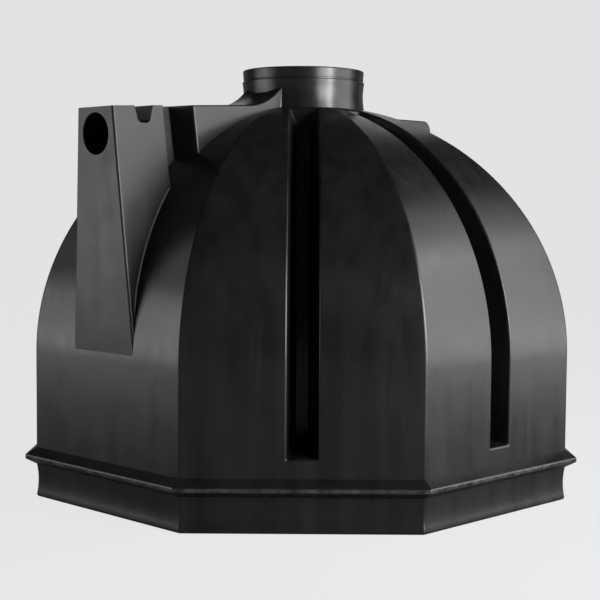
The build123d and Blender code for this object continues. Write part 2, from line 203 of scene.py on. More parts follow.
# Plastic: scales of its patterns in cycles per metre, and depths of its unevenness
MOTTLE_SCALE = 5.5
STREAK_SCALE = 26
STREAK_STRETCH = (1, 1, 0.07)
RUB_SCALE = 14
SWELL_SCALE = 9
SWELL_DEPTH = 2.2 * MM
SWELL_STRENGTH = 0.35
GRAIN_SCALE = 420
GRAIN_DEPTH = 0.6 * MM
PLASTIC_IOR = 1.5
CLOUD_RANGE = (0.75, 1.25)
RUB_RANGE = (0.7, 1.3)
LIP_WEAR_AND_GLINT_SCALE = 70
BLACK = (0.006, 0.006, 0.0062)
FADED_BLACK = (0.012, 0.012, 0.0122)
# Light end of the tower's and web's mottle, a shade lighter than the tank's as a painted sheen for the
# light the tower's cheeks catch
TOWER_FADED_AND_SHEEN_BLACK = (0.013, 0.013, 0.0132)
# Light end of the lip's fine specks: rubbed wear and painted glints
RUBBED_AND_GLINT_BLACK = (0.05, 0.05, 0.05)

# Floor, lamps and camera
FLOOR_SIZE = (240, 200, 1)
SWEEP_STEPS = ((0.6, 3), (2, 3), (4, 2), (40, 0))
STAGE_COLOUR = (0.82, 0.83, 0.845)
STAGE_GLOW = 0.92
# Floor glow in reflections near the object and far from it, and the reach over which this painted shadow
# fades out
FLOOR_MIRRORED = (0.13, 0.2)
SHADE_REACH = (1.0, 2.4)
LAMP_AIM = Vector((0, 0, 0.7))
LAMP_REACH = 3.7
SKY_COLOUR = (0.8, 0.81, 0.82, 1)
SKY_STRENGTH = 0.03
CAMERA_PLACE = (-24.5 * MM, -4145 * MM, 823 * MM)
CAMERA_LENS = 81.9
CAMERA_FILM = 36
CAMERA_PAN = -0.267
CAMERA_DIP = 3.861
CAMERA_ROLL = 0.4276


def dome_height(reach):
    """Height of a face's dome at a distance from the axis."""
    return SHOULDER + sqrt(DOME_RADIUS ** 2 - (reach - DOME_CENTRE) ** 2)


def dome_reach(height):
    """Distance of a face's dome from the axis at a height."""
    return DOME_CENTRE + sqrt(DOME_RADIUS ** 2 - (height - SHOULDER) ** 2)


def dome_slope(reach):
    """Direction up a face's dome, in the radial plane, at a distance from the axis."""
    turn = acos((reach - DOME_CENTRE) / DOME_RADIUS)
    return Vector((-sin(turn), 0, cos(turn)))


def top_line(reach):
    """Height of the slope that the tower, web and ridge share."""
    return RIDGE_TOP - RIDGE_SLOPE * (reach - NECK_RADIUS)


def arc(centre, radius, start, end, steps):
    """Points of an arc in the radial plane, between two angles in degrees."""
    points = []
    for step in range(steps + 1):
        angle = radians(start + (end - start) * step / steps)
        points.append((centre[0] + radius * cos(angle), centre[1] + radius * sin(angle)))
    return points


def edit():
    """Opens the active mesh."""
    bpy.ops.object.mode_set(mode="EDIT")


def leave():
    """Closes the open mesh."""
    bpy.ops.object.mode_set(mode="OBJECT")


def choose(kind, test):
    """Selects only the vertices, edges or faces of the open mesh that pass a test."""
    bpy.ops.mesh.select_mode(type=kind)
    bpy.ops.mesh.select_all(action="DESELECT")
    mesh = bmesh.from_edit_mesh(bpy.context.edit_object.data)
    parts = {"VERT": mesh.verts, "EDGE": mesh.edges, "FACE": mesh.faces}[kind]
    for part in parts:
        if test(part):
            part.select_set(True)
    bmesh.update_edit_mesh(bpy.context.edit_object.data)


def middle(part):
    """Middle of an edge or face of the open mesh."""
    total = Vector((0, 0, 0))
    for vertex in part.verts:
        total += vertex.co
    return total / len(part.verts)


def sharp(fold):
    """Test for edges that fold by more than an angle in degrees."""
    def folds(edge):
        return len(edge.link_faces) == 2 and edge.calc_face_angle(0) > radians(fold)
    return folds


def on_mitre(edge):
    """Whether an edge runs along one of the octagon's corners."""
    for vertex in edge.verts:
        turn = atan2(vertex.co.y, vertex.co.x) / (2 * HALF_TURN) - 0.5
        if abs(turn - round(turn)) > TURN_GAP:
            return False
    return True


def standing_out(inner, fold):
    """Test for a fitting's folded edges, apart from those at its inner end and its root."""
    def stands_out(edge):
        place = middle(edge)
        return sharp(fold)(edge) and place.x > inner + MM and place.z > FITTING_ROOT + MM
    return stands_out


def only(piece):
    """Makes one object the selected and active one."""
    bpy.ops.object.select_all(action="DESELECT")
    piece.select_set(True)
    bpy.context.view_layer.objects.active = piece


def joined(piece, *extras):
    """Makes the extras part of the piece."""
    only(piece)
    for extra in extras:
        extra.select_set(True)
    bpy.ops.object.join()
    return piece


def started(name):
    """Names the primitive that was just added and gives it back."""
    piece = bpy.context.object
    piece.name = name
    piece.data.name = name
    return piece


def settle(piece):
    """Puts the piece's place and turn into its mesh."""
    only(piece)
    bpy.ops.object.transform_apply(location=True, rotation=True, scale=True)


def turn_to(piece, turn):
    """Turns what was drawn towards +X to another face, by an angle in degrees."""
    piece.rotation_euler = (0, 0, radians(turn))
    settle(piece)


def apply(piece, kind, **settings):
    """Adds a modifier with its settings and applies it."""
    only(piece)
    made = piece.modifiers.new(kind.title(), kind)
    for name, value in settings.items():
        setattr(made, name, value)
    bpy.ops.object.modifier_apply(modifier=made.name)


def cut(piece, cutter, keep_cutter=False):
    """Takes the cutter's body out of the piece."""
    apply(piece, "BOOLEAN", operation="DIFFERENCE", object=cutter, solver="EXACT")
    if not keep_cutter:
        bpy.data.objects.remove(cutter)


def outward(piece):
    """Merges doubled points and turns every face outwards."""
    only(piece)
    edit()
    bpy.ops.mesh.select_all(action="SELECT")
    bpy.ops.mesh.remove_doubles(threshold=MERGE_GAP)
    bpy.ops.mesh.normals_make_consistent(inside=False)
    leave()


def face_out(piece):
    """Turns an open skin so that its faces look away from the axis."""
    only(piece)
    edit()
    bpy.ops.mesh.select_all(action="SELECT")
    bpy.ops.mesh.normals_make_consistent(inside=False)
    lean = 0
    for face in bmesh.from_edit_mesh(piece.data).faces:
        place = middle(face)
        lean += face.normal.dot(Vector((place.x, place.y, 0))) * face.calc_area()
    if lean < 0:
        bpy.ops.mesh.flip_normals()
    leave()


def smooth(piece):
    """Smooth shading that keeps creases and leaves flat faces flat."""
    only(piece)
    bpy.ops.object.shade_smooth_by_angle(angle=radians(SHADE_FOLD))
    apply(piece, "WEIGHTED_NORMAL", keep_sharp=True, weight=FLATNESS_WEIGHT)


def round_edges(piece, test, width, segments=3):
    """Rounds the chosen edges of a piece."""
    only(piece)
    edit()
    choose("EDGE", test)
    bpy.ops.mesh.bevel(offset=width, segments=segments, profile=0.5, affect="EDGES", clamp_overlap=True)
    leave()


def slice_up(piece, planes):
    """Cuts the piece's faces along planes, each a point and a normal."""
    only(piece)
    edit()
    for point, normal in planes:
        bpy.ops.mesh.select_all(action="SELECT")
        bpy.ops.mesh.bisect(plane_co=point, plane_no=normal)
    leave()


def ring(name, sides, stations, ends):
    """Walks one loop through distances and heights, its ends capped or joined to each other."""
    corner_reach = 1 / cos(pi / sides) if sides == SIDES else 1
    radius, height = stations[0]
    bpy.ops.mesh.primitive_circle_add(
        vertices=sides, radius=radius * corner_reach, location=(0, 0, height),
        rotation=(0, 0, pi / sides), fill_type="NGON" if ends == "capped" else "NOTHING",
    )
    piece = started(name)
    settle(piece)
    edit()
    choose("EDGE", lambda edge: True)
    for wider, higher in stations[1:]:
        ratio = wider / radius
        bpy.ops.mesh.extrude_edges_move(TRANSFORM_OT_translate={"value": (0, 0, higher - height)})
        bpy.ops.transform.resize(value=(ratio, ratio, 1), center_override=(0, 0, 0))
        radius, height = wider, higher
    choose("EDGE", lambda edge: edge.is_boundary)
    if ends == "capped":
        bpy.ops.mesh.edge_face_add()
    else:
        bpy.ops.mesh.bridge_edge_loops()
    leave()
    outward(piece)
    return piece


def slab(name, outline, half):
    """Draws an outline of the radial plane out sideways both ways."""
    bpy.ops.mesh.primitive_circle_add(vertices=len(outline), radius=1, fill_type="NGON")
    piece = started(name)
    for vertex, (reach, height) in zip(piece.data.vertices, outline):
        vertex.co = (reach, -half, height)
    edit()
    bpy.ops.mesh.select_all(action="SELECT")
    bpy.ops.mesh.extrude_region_move(TRANSFORM_OT_translate={"value": (0, 2 * half, 0)})
    leave()
    outward(piece)
    return piece


def inset(outline, depth):
    """The outline moved inwards by a wall's thickness."""
    count = len(outline)
    area = 0
    for index in range(count):
        (x0, z0), (x1, z1) = outline[index - 1], outline[index]
        area += x0 * z1 - x1 * z0
    side = 1 if area > 0 else -1
    moved = []
    for index in range(count):
        before, here, after = (Vector(outline[(index + step) % count]) for step in (-1, 0, 1))
        first, second = (here - before).normalized(), (after - here).normalized()
        normals = [Vector((-edge.y, edge.x)) * side for edge in (first, second)]
        share = 1 + normals[0].dot(normals[1])
        place = here + (normals[0] + normals[1]) * (depth / share)
        moved.append((place.x, place.y))
    return moved


def hollow(outline, root):
    """The outline of a fitting's room, a wall's thickness in and open at its root."""
    room = []
    for reach, height in inset(outline, WALL):
        at_root = height < root + 2 * WALL
        room.append((reach, height - ROOM_FOOT_DROP if at_root else height))
    return room


def blend(name, corner):
    """Concave strip along an inner corner, from its points, two ways along the faces and its reach."""
    bpy.ops.mesh.primitive_circle_add(vertices=BLEND_SIDES, radius=1, fill_type="NGON")
    piece = started(name)
    edit()
    bpy.ops.mesh.select_all(action="SELECT")
    for _ in corner[1:]:
        bpy.ops.mesh.extrude_region_move(TRANSFORM_OT_translate={"value": (0, 0, 1)})
    leave()
    for vertex in piece.data.vertices:
        point, first, second, reach = corner[round(vertex.co.z)]
        turn = round(atan2(vertex.co.y, vertex.co.x) / (2 * pi) * BLEND_SIDES) % BLEND_SIDES
        if turn == BLEND_SIDES - 1:
            vertex.co = point - (first + second) * BLEND_ROOT
            continue
        share = turn / (BLEND_SIDES - 2)
        bow = first * (1 - share) ** 2 + second * share ** 2
        vertex.co = point + bow * reach - (first + second) * BLEND_TUCK
    outward(piece)
    smooth(piece)
    return piece


def filleted(piece, corners):
    """The smoothed piece with concave strips along its named inner corners."""
    strips = []
    for name, corner in corners.items():
        strip = blend(name, corner)
        turn_to(strip, PLAIN_FACES["front_left"])
        strips.append(strip)
    smooth(piece)
    return joined(piece, *strips)


def seat(piece, face, *rooms):
    """Turns a fitting to its face and trims what stands inside the tank's rooms."""
    turn_to(piece, PLAIN_FACES[face])
    for room in rooms:
        cut(piece, room, keep_cutter=True)


def pipe_hole(piece, reach, height, lean):
    """Cuts the round hole for a drain pipe square to the end wall and softens its rim."""
    centre = Vector((reach, 0, height))
    bpy.ops.mesh.primitive_cylinder_add(
        vertices=PIPE_SIDES, radius=PIPE_BORE, depth=DRILL_LENGTH,
        location=centre, rotation=(0, pi / 2 + lean, 0),
    )
    drill = started("drill")
    settle(drill)
    cut(piece, drill)

    def rim(edge):
        places = [vertex.co - centre for vertex in edge.verts]
        on_bore = [abs(Vector((0, place.y, place.z)).length - PIPE_BORE) < PIPE_GAP for place in places]
        return all(on_bore) and sharp(PIPE_FOLD)(edge)

    round_edges(piece, rim, PIPE_EDGE, segments=2)


def tank_core(name):
    """Closed body of the tank's room, a little under the outside of its skin."""
    stations = [(APOTHEM - ROOM_SINK, FLANGE_TOP)]
    stations += arc((DOME_CENTRE, SHOULDER), DOME_RADIUS - ROOM_SINK, 0, DOME_END, DOME_ROWS)
    return ring(name, SIDES, stations, "capped")


def base():
    """Floor, dished band and flange as one skin round the octagon."""
    lining = APOTHEM - BAND_DISH - WALL
    stations = [(lining - WALL, WALL), (lining, 2 * WALL), (lining, BAND_HEIGHT)]
    stations += [(APOTHEM - WALL, BAND_HEIGHT + WALL), (APOTHEM - WALL, FLANGE_TOP)]
    stations += [(APOTHEM, FLANGE_TOP), (FLANGE_TIP, FLANGE_OVER), (FLANGE_TIP, FLANGE_UNDER)]
    for row in range(BAND_ROWS + 1):
        share = row / BAND_ROWS
        depth = BAND_DISH * (1 - (2 * share - 1) ** 2)
        stations.append((APOTHEM - depth, BAND_HEIGHT - (BAND_HEIGHT - BASE_EDGE) * share))
    stations += arc((APOTHEM - BASE_EDGE, BASE_EDGE), BASE_EDGE, 0, -90, steps=4)[1:]
    piece = ring("base", SIDES, stations, "capped")
    round_edges(piece, lambda edge: on_mitre(edge) and middle(edge).xy.length > APOTHEM, BASE_MITRE_EDGE)
    return piece


def face_strip(name, slotted):
    """Skin of one face from the flange up to the neck, drawn towards +X."""
    width, tall = 2 * APOTHEM * tan(HALF_TURN), SHOULDER - WALL_FOOT
    centre = (APOTHEM, 0, (WALL_FOOT + SHOULDER) / 2)
    bpy.ops.mesh.primitive_plane_add(size=1, location=centre, rotation=(0, pi / 2, 0))
    piece = started(name)
    settle(piece)
    edit()
    bpy.ops.transform.resize(value=(1, width, tall), center_override=centre)
    choose("EDGE", lambda edge: middle(edge).z > SHOULDER - MM)
    rows = arc((DOME_CENTRE, SHOULDER), DOME_RADIUS, 0, DOME_END, DOME_ROWS)
    inner = MANHOLE_RADIUS * cos(HALF_TURN)
    reach, height = rows[0]
    for further, higher in rows[1:] + [(inner, dome_height(inner))]:
        bpy.ops.mesh.extrude_edges_move(
            TRANSFORM_OT_translate={"value": (further - reach, 0, higher - height)}
        )
        bpy.ops.transform.resize(value=(1, further / reach, 1), center_override=(0, 0, 0))
        reach, height = further, higher
    for side in (-1, 1):
        bpy.ops.mesh.select_all(action="SELECT")
        bpy.ops.mesh.bisect(plane_co=(0, side * SLOT_MOUTH, 0), plane_no=(0, 1, 0))
    slot_top = rows[-1][1]
    choose("VERT", lambda vertex: vertex.co.z > slot_top + MM and abs(vertex.co.y) < SLOT_MOUTH + MM)
    bpy.ops.transform.translate(value=MANHOLE_BULGE)
    bpy.ops.mesh.select_all(action="SELECT")
    bpy.ops.mesh.bisect(plane_co=(0, 0, SLOT_BOTTOM), plane_no=(0, 0, 1))
    if slotted:
        sink_slot([(APOTHEM, SLOT_BOTTOM)] + rows)
    leave()
    return piece


def slot_floor_rows(top, count):
    """Points of the slot's floor: its foot, then a curve up to its sloped head."""
    foot = APOTHEM - SLOT_DEPTH
    rise, run = top - SLOT_END_DROP - SHOULDER, foot - SLOT_END - SLOT_END_RUN
    radius = (rise ** 2 + run ** 2) / (2 * run)
    turn = degrees(atan2(rise, radius - run))
    curve = arc((foot - radius, SHOULDER), radius, 0, turn, count - 2)
    return [(foot, SLOT_BOTTOM + SLOT_LEDGE)] + curve


def sink_slot(rows):
    """Pushes the middle of the open strip in as a slot, row by row."""
    top = rows[-1][1]

    def in_mouth(face):
        place = middle(face)
        return abs(place.y) < SLOT_MOUTH and SLOT_BOTTOM < place.z < top

    choose("FACE", in_mouth)
    bpy.ops.mesh.extrude_region_move(TRANSFORM_OT_translate={"value": (-SLOT_DEPTH, 0, 0)})
    bpy.ops.transform.resize(value=(1, SLOT_FLOOR / SLOT_MOUTH, 1), center_override=(0, 0, 0))
    pairs = list(zip(rows, slot_floor_rows(top, len(rows))))
    for (reach, height), (floor_reach, floor_height) in reversed(pairs):
        pushed = reach - SLOT_DEPTH

        def in_row(vertex):
            at_side = abs(abs(vertex.co.y) - SLOT_FLOOR) < PLACE_GAP
            return at_side and (vertex.co - Vector((pushed, vertex.co.y, height))).length < PLACE_GAP

        choose("VERT", in_row)
        bpy.ops.transform.translate(value=(floor_reach - pushed, 0, floor_height - height))


def shell():
    """The whole skin of wall and dome, with its six slots."""
    slotted = face_strip("slotted_face", True)
    outward(slotted)
    round_edges(slotted, sharp(SOFT_FOLD), SLOT_EDGE)
    plain = face_strip("plain_face", False)
    strips = []
    for pattern, faces in ((slotted, SLOT_FACES), (plain, PLAIN_FACES)):
        for turn in faces.values():
            only(pattern)
            bpy.ops.object.duplicate()
            strips.append(bpy.context.object)
            turn_to(strips[-1], turn)
        bpy.data.objects.remove(pattern)
    joined(*strips)
    piece = started("shell")
    outward(piece)
    round_edges(piece, lambda edge: on_mitre(edge) and not edge.is_boundary, MITRE_EDGE)
    face_out(piece)
    apply(piece, "SOLIDIFY", thickness=WALL, offset=-1, use_even_offset=True)
    return piece


def tower_front(height):
    """Distance of the tower's leaning front from the axis."""
    return APOTHEM + TOWER_LEAN * (height - TOWER_FOOT) / TOWER_RISE


def tower_rear(height):
    """Distance of the tower's leaning rear from the axis."""
    return TOWER_REAR - TOWER_REAR_SLOPE * (top_line(TOWER_REAR) - height)


def tower_half(reach, height):
    """Half the tower's width, flared towards its foot and a little wider in front."""
    front, rear = tower_front(height), tower_rear(height)
    fall = min(max(TOWER_FOOT + TOWER_RISE - height, 0), TOWER_RISE)
    flare = (TOWER_HALF_FOOT - TOWER_HALF) * fall / TOWER_RISE
    share = min(max((reach - rear) / (front - rear), 0), 1)
    rear_flare = max(flare - TOWER_CHEEK_SLOPE * (front - rear), 0)
    return TOWER_HALF + rear_flare + (flare - rear_flare) * share


def cheek_out(reach, height, side):
    """Direction square to one cheek of the tower, away from the tower."""
    lean = (tower_half(reach - MM, height) - tower_half(reach + MM, height)) / (2 * MM)
    climb = (tower_half(reach, height - MM) - tower_half(reach, height + MM)) / (2 * MM)
    return Vector((lean, side, climb)).normalized()


def tower_corner(side):
    """Inner corner between one cheek of the tower and the dome, from the foot up."""
    corner = []
    height = TOWER_FOOT
    reach = dome_reach(height)
    while reach >= tower_rear(height):
        clear = tower_front(height) - reach - TOWER_EDGE
        if clear >= MM:
            slope = dome_slope(reach)
            dome_out = Vector((slope.z, 0, -slope.x))
            square = cheek_out(reach, height, side)
            along = dome_out.cross(square).normalized()
            on_dome = along.cross(dome_out).normalized()
            on_cheek = along.cross(square).normalized()
            if on_dome.y * side < 0:
                on_dome = -on_dome
            if on_cheek.dot(dome_out) < 0:
                on_cheek = -on_cheek
            point = Vector((reach, tower_half(reach, height) * side, height))
            corner.append((point, on_dome, on_cheek, min(CORNER_BLEND, clear / 2)))
        height += CORNER_STEP
        reach = dome_reach(height)
    return corner


def groove_outline():
    """U-shaped groove in the tower's top, from its inner lip to its outer lip."""
    bed = top_line(GROOVE_MIDDLE) - GROOVE_DEPTH
    points = []
    for side, start, end in ((-1, 180, 270), (1, 270, 360)):
        centre = (GROOVE_MIDDLE + side * (GROOVE_HALF_BED - GROOVE_CORNER), bed + GROOVE_CORNER)
        points += arc(centre, GROOVE_CORNER, start, end, steps=5)
    left, right = GROOVE_MIDDLE - GROOVE_HALF_TOP, GROOVE_MIDDLE + GROOVE_HALF_TOP
    return [(left, top_line(left))] + points + [(right, top_line(right))]


def tower_block(name, outline, skin):
    """The tower's outside, or its room when given a skin, on a fine net of faces."""
    piece = slab(name, outline, 1.0)
    net = [((0, 0, TOWER_ROOT + row * NET_ROW), (0, 0, 1)) for row in NET_ROWS]
    net += [((TOWER_REAR + column * NET_COLUMN, 0, 0), (1, 0, 0)) for column in NET_COLUMNS]
    slice_up(piece, net)
    for vertex in piece.data.vertices:
        vertex.co.y *= tower_half(vertex.co.x, vertex.co.z) - skin
    return piece


def tower(room):
    """Hollow pipe tower with its groove, its pipe hole and the fillets at its foot."""
    outline = [(tower_rear(TOWER_ROOT), TOWER_ROOT), (TOWER_REAR, top_line(TOWER_REAR))]
    outline += groove_outline()
    outline += [(TOWER_FRONT, top_line(TOWER_FRONT)), (tower_front(TOWER_ROOT), TOWER_ROOT)]
    piece = tower_block("pipe_tower", outline, 0)

    def front_corner(edge):
        place = middle(edge)
        first, second = edge.verts
        upright = abs(first.co.z - second.co.z) > MM
        return upright and sharp(FOLD)(edge) and place.x > tower_front(place.z) - MM

    round_edges(piece, front_corner, TOWER_EDGE, segments=5)
    round_edges(piece, sharp(FOLD), FITTING_EDGE)
    cut(piece, tower_block("tower_room", hollow(outline, TOWER_ROOT), WALL))
    pipe_hole(piece, TOWER_FRONT, INLET_HEIGHT, TOWER_LEAN / TOWER_RISE)
    seat(piece, "front_left", room)
    left, right = tower_corner(-1), tower_corner(1)
    up_rear = Vector((-TOWER_REAR_SLOPE, 0, 1)).normalized()
    behind = []
    for point in (left[-1][0], right[-1][0]):
        behind.append((point, dome_slope(point.x), up_rear, CORNER_BLEND))
    return filleted(piece, {"left_corner": left, "right_corner": right, "rear_corner": behind})


def ridge_block(name, outline, half):
    """The ridge's outside or its room, with the blunt nose drawn out."""
    piece = slab(name, outline, half)
    slice_up(piece, [((0, 0, 0), (0, 1, 0))])
    for vertex in piece.data.vertices:
        if abs(vertex.co.y) < MM and vertex.co.x > RIDGE_NOSE_FROM:
            vertex.co.x += RIDGE_NOSE
            if vertex.co.z > FITTING_ROOT + MM:
                vertex.co.z -= RIDGE_SLOPE * RIDGE_NOSE
    return piece


def ramp_outline():
    """Curved ramp that leaves the ridge's slope along it and climbs the neck."""
    start = Vector((RAMP_START, top_line(RAMP_START)))
    chord = Vector((RAMP_END, RAMP_TOP)) - start
    heading = Vector((-1, RIDGE_SLOPE)).normalized()
    normal = Vector((-heading.y, heading.x))
    if normal.dot(chord) < 0:
        normal = -normal
    bend = chord.length_squared / (2 * normal.dot(chord))
    swing = 2 * atan2(chord.dot(normal), chord.dot(heading))
    points = []
    for row in range(RAMP_ROWS + 1):
        angle = swing * row / RAMP_ROWS
        place = start + heading * bend * sin(angle) + normal * bend * (1 - cos(angle))
        points.append((place.x, place.y))
    return points


def neck_corner(side):
    """Upright inner corner between one side of the ridge and the neck, drawn to a point at its top."""
    radius = NECK_RADIUS - NECK_WAIST / 2
    reach = sqrt(radius ** 2 - TOWER_HALF ** 2)
    round_neck = Vector((-TOWER_HALF / radius, reach / radius * side, 0))
    corner = []
    for row in range(NECK_CORNER_ROWS + 1):
        share = row / NECK_CORNER_ROWS
        height = NECK_CORNER_LOW + (NECK_CORNER_HIGH - NECK_CORNER_LOW) * share
        width = CORNER_BLEND * (1 - NECK_CORNER_TAPER * share)
        corner.append((Vector((reach, TOWER_HALF * side, height)), round_neck, Vector((1, 0, 0)), width))
    return corner


def ridge(room, neck_room):
    """Hollow ridge between the web and the neck, with its ramp and blunt nose."""
    end_height = top_line(RIDGE_END)
    end_low = (RIDGE_END - RIDGE_END_LEAN * (end_height - FITTING_ROOT), FITTING_ROOT)
    outline = [end_low, (RIDGE_END, end_height)] + ramp_outline()
    outline += [(RIDGE_INNER, RAMP_TOP), (RIDGE_INNER, FITTING_ROOT)]
    piece = ridge_block("ridge_hood", outline, TOWER_HALF)
    round_edges(piece, standing_out(RIDGE_INNER, SOFT_FOLD), FITTING_EDGE)
    cut(piece, ridge_block("ridge_room", hollow(outline, FITTING_ROOT), TOWER_HALF - WALL))
    seat(piece, "front_left", room, neck_room)
    return filleted(piece, {"left_neck_corner": neck_corner(-1), "right_neck_corner": neck_corner(1)})


def web(room):
    """Thin wall that joins the tower to the ridge."""
    inner, outer = RIDGE_END - RIDGE_NOSE, TOWER_REAR + WEB_INTO_TOWER
    outline = [(inner, WEB_ROOT), (inner, top_line(inner)), (outer, top_line(outer)), (outer, WEB_ROOT)]
    piece = slab("web_wall", outline, WEB_HALF)
    for vertex in piece.data.vertices:
        vertex.co.y += WEB_SHIFT
    round_edges(piece, sharp(FOLD), WEB_EDGE)
    seat(piece, "front_left", room)
    return piece


def outlet(room, neck_room):
    """Hollow outlet chamber with its rounded shoulder and pipe hole."""
    corner = (OUTLET_END - OUTLET_CORNER, OUTLET_TOP - OUTLET_CORNER)
    outline = [(OUTLET_INNER, OUTLET_TOP)] + arc(corner, OUTLET_CORNER, 90, 0, steps=8)
    outline += [(OUTLET_END, FITTING_ROOT), (OUTLET_INNER, FITTING_ROOT)]
    piece = slab("outlet_chamber", outline, TOWER_HALF)
    round_edges(piece, standing_out(OUTLET_INNER, FOLD), FITTING_EDGE)
    cut(piece, slab("outlet_room", hollow(outline, FITTING_ROOT), TOWER_HALF - WALL))
    pipe_hole(piece, OUTLET_END, OUTLET_HEIGHT, 0)
    seat(piece, "back_right", room, neck_room)
    return piece


def neck():
    """Waisted round neck with its stepped rim."""
    stations = [(NECK_BORE, NECK_ROOT), (NECK_RADIUS + NECK_FLARE - NECK_ROOT_IN, NECK_ROOT)]
    low, high = DOME_AT_NECK + NECK_FLARE, NECK_TOP - NECK_EDGE
    flare = arc((NECK_RADIUS + NECK_FLARE, low), NECK_FLARE, 270, 180, steps=5)
    stations += [(radius, height - FLARE_SINK) for radius, height in flare]
    for row in range(1, WAIST_ROWS + 1):
        share = row / WAIST_ROWS
        waist = NECK_WAIST * (1 - (2 * share - 1) ** 2)
        stations.append((NECK_RADIUS - waist, low + (high - low) * share))
    stations += arc((NECK_RADIUS - NECK_EDGE, high), NECK_EDGE, 30, 90, steps=3)
    stations += [(RIM_RADIUS, NECK_TOP)]
    stations += arc((RIM_RADIUS - RIM_EDGE, RIM_TOP - RIM_EDGE), RIM_EDGE, 0, 90, steps=3)
    stations += arc((NECK_BORE + BORE_EDGE, RIM_TOP - BORE_EDGE), BORE_EDGE, 90, 180, steps=3)
    return ring("neck_collar", ROUND_SIDES, stations, "joined")


def lid():
    """Lid with a shallow panel, a drafted skirt outside the rim and a plug inside it."""
    plug, skirt = NECK_BORE - LID_PLAY, RIM_RADIUS + LID_PLAY
    plug_inside, plug_foot = plug - PLUG_WALL, LID_SEAT - PLUG_DEPTH
    stations = [(plug_inside - PLUG_CHAMFER, LID_TOP - LID_SKIN)]
    stations += [(plug_inside, LID_TOP - LID_SKIN - PLUG_CHAMFER), (plug_inside, plug_foot)]
    stations += [(plug, plug_foot), (plug, LID_SEAT), (skirt, LID_SEAT), (skirt, LID_FOOT)]
    foot = LID_RADIUS - LID_DRAFT - LID_FOOT_EDGE
    stations += arc((foot, LID_FOOT + LID_FOOT_EDGE), LID_FOOT_EDGE, -90, 0, steps=2)
    stations += arc((LID_RADIUS - LID_EDGE, LID_TOP - LID_EDGE), LID_EDGE, 0, 90, steps=5)
    stations += [(PANEL_RADIUS - inwards, LID_TOP - sunk) for inwards, sunk in PANEL_STEPS]
    return ring("lid_cover", ROUND_SIDES, stations, "capped")


def new_material(name):
    """A fresh material and its tree of nodes."""
    material = bpy.data.materials.new(name)
    material.use_nodes = True
    return material, material.node_tree


def noise(tree, coords, scale, detail, stretch=(1, 1, 1)):
    """Noise pattern on the piece's own coordinates, stretched along its axes."""
    mapping = tree.nodes.new("ShaderNodeMapping")
    mapping.inputs["Scale"].default_value = stretch
    tree.links.new(coords, mapping.inputs["Vector"])
    pattern = tree.nodes.new("ShaderNodeTexNoise")
    pattern.inputs["Scale"].default_value = scale
    pattern.inputs["Detail"].default_value = detail
    tree.links.new(mapping.outputs["Vector"], pattern.inputs["Vector"])
    return pattern.outputs["Fac"]


def spread(tree, value, low, high, start, end):
    """Spreads a pattern's range from start to end between two values."""
    node = tree.nodes.new("ShaderNodeMapRange")
    node.inputs["From Min"].default_value = start
    node.inputs["From Max"].default_value = end
    node.inputs["To Min"].default_value = low
    node.inputs["To Max"].default_value = high
    tree.links.new(value, node.inputs["Value"])
    return node.outputs["Result"]


def combined(tree, how, first, second):
    """Adds or multiplies two values, or takes the larger one."""
    node = tree.nodes.new("ShaderNodeMath")
    node.operation = how
    tree.links.new(first, node.inputs[0])
    tree.links.new(second, node.inputs[1])
    return node.outputs[0]


def bump(tree, height, strength, depth):
    """Small unevenness of the surface from a pattern."""
    node = tree.nodes.new("ShaderNodeBump")
    node.inputs["Strength"].default_value = strength
    node.inputs["Distance"].default_value = depth
    tree.links.new(height, node.inputs["Height"])
    return node


def moulded_plastic(name, dark, light, gloss, matt, grain, patch=MOTTLE_SCALE):
    """Black moulded plastic: faint mottle and streaks, satin gloss and a fine skin."""
    material, tree = new_material(name)
    shader = tree.nodes["Principled BSDF"]
    coords = tree.nodes.new("ShaderNodeTexCoord").outputs["Object"]
    mottle = noise(tree, coords, patch, detail=4)
    streaks = noise(tree, coords, STREAK_SCALE, detail=3, stretch=STREAK_STRETCH)
    cloud = spread(tree, combined(tree, "ADD", mottle, streaks), 0, 1, *CLOUD_RANGE)
    tint = tree.nodes.new("ShaderNodeMix")
    tint.data_type = "RGBA"
    tint.inputs["A"].default_value = (*dark, 1)
    tint.inputs["B"].default_value = (*light, 1)
    tree.links.new(cloud, tint.inputs["Factor"])
    tree.links.new(tint.outputs["Result"], shader.inputs["Base Color"])
    rubs = noise(tree, coords, RUB_SCALE, detail=5)
    worn = spread(tree, combined(tree, "ADD", streaks, rubs), gloss, matt, *RUB_RANGE)
    tree.links.new(worn, shader.inputs["Roughness"])
    fine = bump(tree, noise(tree, coords, GRAIN_SCALE, detail=2), grain, GRAIN_DEPTH)
    broad = bump(tree, noise(tree, coords, SWELL_SCALE, detail=2), SWELL_STRENGTH, SWELL_DEPTH)
    tree.links.new(fine.outputs["Normal"], broad.inputs["Normal"])
    tree.links.new(broad.outputs["Normal"], shader.inputs["Normal"])
    shader.inputs["IOR"].default_value = PLASTIC_IOR
    return material


